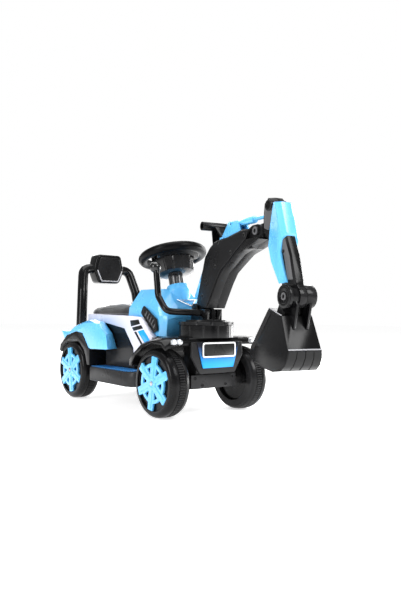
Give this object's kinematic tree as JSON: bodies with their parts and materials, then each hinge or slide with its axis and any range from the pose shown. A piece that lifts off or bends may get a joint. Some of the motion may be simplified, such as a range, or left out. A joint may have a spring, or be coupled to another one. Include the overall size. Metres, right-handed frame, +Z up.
{
  "type": "ride on digger",
  "caption": "Child's ride-on digger: wheels, saddle, steering wheel and roll hoop, with a slewing front arm whose boom, stick and bucket move.",
  "frame": {"origin": "on the ground, under the middle of the whole object's bounding box", "axes": "+Z up, forward is -Y (the bucket end), +X is the vehicle's left side"},
  "size_m": [0.338, 1.0696, 0.528],
  "materials": {
    "sky_blue": "light sky-blue moulded plastic, glossy",
    "bright_blue": "brighter blue moulded plastic, glossy",
    "black": "black moulded plastic, glossy",
    "tyre_black": "hard black plastic wheel, glossy with a ribbed tread",
    "white": "pale white moulded plastic",
    "chrome": "bright chromed plastic",
    "lens": "clear silvered lamp",
    "steel": "plain steel",
    "inner": "dark inner casing"
  },
  "bodies": {
    "vehicle": {"lower_body": "black", "battery": "inner", "drive_unit": "inner", "rear_axle": "steel", "upper_shell": "white", "rear_arch_left": "black", "rear_arch_right": "black", "rear_fender_left": "sky_blue", "rear_fender_right": "sky_blue", "step_left": "black", "step_right": "black", "step_mat_left": "sky_blue", "step_mat_right": "sky_blue", "rear_bumper": "sky_blue", "roll_hoop": "black", "headrest": "black", "seat": "black", "hood": "sky_blue", "vent_left": "black", "vent_right": "black", "hood_trim": "chrome", "front_cover": "black", "front_fascia": "black", "front_panel": "bright_blue", "blank_plate": "black", "axle_beam": "black", "beam_bracket": "black", "headlamp_left": "lens", "headlamp_right": "lens", "turret_drum": "black"},
    "steering_assembly": {"steering_column": "black", "steering_hub": "black", "steering_rim": "black", "steering_shaft": "steel"},
    "horn": {"horn_button": "bright_blue"},
    "tie": {"tie_rod": "steel"},
    "knuckle_l": {"knuckle_left": "steel"},
    "knuckle_r": {"knuckle_right": "steel"},
    "wheel_fl": {"tyre_front_left": "tyre_black", "trim_front_left": "sky_blue"},
    "wheel_fr": {"tyre_front_right": "tyre_black", "trim_front_right": "sky_blue"},
    "wheel_rl": {"tyre_rear_left": "tyre_black", "trim_rear_left": "sky_blue"},
    "wheel_rr": {"tyre_rear_right": "tyre_black", "trim_rear_right": "sky_blue"},
    "slew": {"swivel": "black", "lever_rod": "black", "lever_knob": "black"},
    "boom": {"boom_shell_left": "black", "boom_shell_right": "black", "boom_spine": "sky_blue", "stick_pin": "black"},
    "handle": {"handle_lever": "black", "rod_bracket": "sky_blue"},
    "rod": {"push_rod": "bright_blue"},
    "stick": {"stick_core": "black", "stick_cover": "sky_blue"},
    "bucket_body": {"bucket": "black", "wrist_pin": "steel"}
  },
  "joints": [
    {"name": "arm_slew", "type": "hinge", "parent": "vehicle", "child": "slew", "pos_m": [0, -0.0882, 0.25], "axis": [0, 0, 1], "range_deg": [-8, 32]},
    {"name": "boom_lift", "type": "hinge", "parent": "slew", "child": "boom", "pos_m": [0.00495, -0.06472, 0.281], "axis": [-0.9785, 0.2062, 0], "range_deg": [0, 18]},
    {"name": "stick_swing", "type": "hinge", "parent": "boom", "child": "stick", "pos_m": [-0.05939, -0.37001, 0.4603], "axis": [-0.9785, 0.2062, 0], "range_deg": [-7, 25]},
    {"name": "handle_tilt", "type": "hinge", "parent": "boom", "child": "handle", "pos_m": [-0.02392, -0.20171, 0.4603], "axis": [-0.9785, 0.2062, 0], "range_deg": [-7.5, 25.5]},
    {"name": "push_rod_swing", "type": "hinge", "parent": "handle", "child": "rod", "pos_m": [-0.03299, -0.24476, 0.4935], "axis": [-0.9785, 0.2062, 0], "range_deg": [-25.5, 7.5]},
    {"name": "bucket_tilt", "type": "hinge", "parent": "stick", "child": "bucket_body", "pos_m": [-0.0863, -0.49771, 0.3065], "axis": [-0.9785, 0.2062, 0], "range_deg": [-40, 30]},
    {"name": "steering_turn", "type": "hinge", "parent": "vehicle", "child": "steering_assembly", "pos_m": [0, 0.0438, 0.338], "axis": [0, 0.2672, 0.9636], "range_deg": [-30, 30]},
    {"name": "horn_press", "type": "slide", "parent": "steering_assembly", "child": "horn", "axis": [0, -0.2672, -0.9636], "range_m": [0, 0.003], "stiffness_N_per_m": 200, "springref_m": -0.002},
    {"name": "tie_rod_slide", "type": "slide", "parent": "vehicle", "child": "tie", "axis": [1, 0, 0], "range_m": [-0.0092, 0.0092]},
    {"name": "front_left_steer", "type": "hinge", "parent": "vehicle", "child": "knuckle_l", "pos_m": [0.09, -0.0732, 0.09], "axis": [0, 0, 1], "range_deg": [-15.5, 15.5]},
    {"name": "front_right_steer", "type": "hinge", "parent": "vehicle", "child": "knuckle_r", "pos_m": [-0.09, -0.0732, 0.09], "axis": [0, 0, 1], "range_deg": [-15.5, 15.5]},
    {"name": "front_left_spin", "type": "hinge", "parent": "knuckle_l", "child": "wheel_fl", "pos_m": [0.135, -0.0732, 0.09], "axis": [1, 0, 0], "continuous": true},
    {"name": "front_right_spin", "type": "hinge", "parent": "knuckle_r", "child": "wheel_fr", "pos_m": [-0.135, -0.0732, 0.09], "axis": [1, 0, 0], "continuous": true},
    {"name": "rear_left_spin", "type": "hinge", "parent": "vehicle", "child": "wheel_rl", "pos_m": [0.135, 0.3974, 0.09], "axis": [1, 0, 0], "continuous": true},
    {"name": "rear_right_spin", "type": "hinge", "parent": "vehicle", "child": "wheel_rr", "pos_m": [-0.135, 0.3974, 0.09], "axis": [1, 0, 0], "continuous": true}
  ],
  "couplings": [
    {"joint": "handle_tilt", "follows": "stick_swing", "ratio": 1},
    {"joint": "push_rod_swing", "follows": "stick_swing", "ratio": -1},
    {"joint": "front_left_steer", "follows": "steering_turn", "ratio": 0.5},
    {"joint": "front_right_steer", "follows": "steering_turn", "ratio": 0.5},
    {"joint": "tie_rod_slide", "follows": "steering_turn", "m_per_rad": -0.0175}
  ]
}
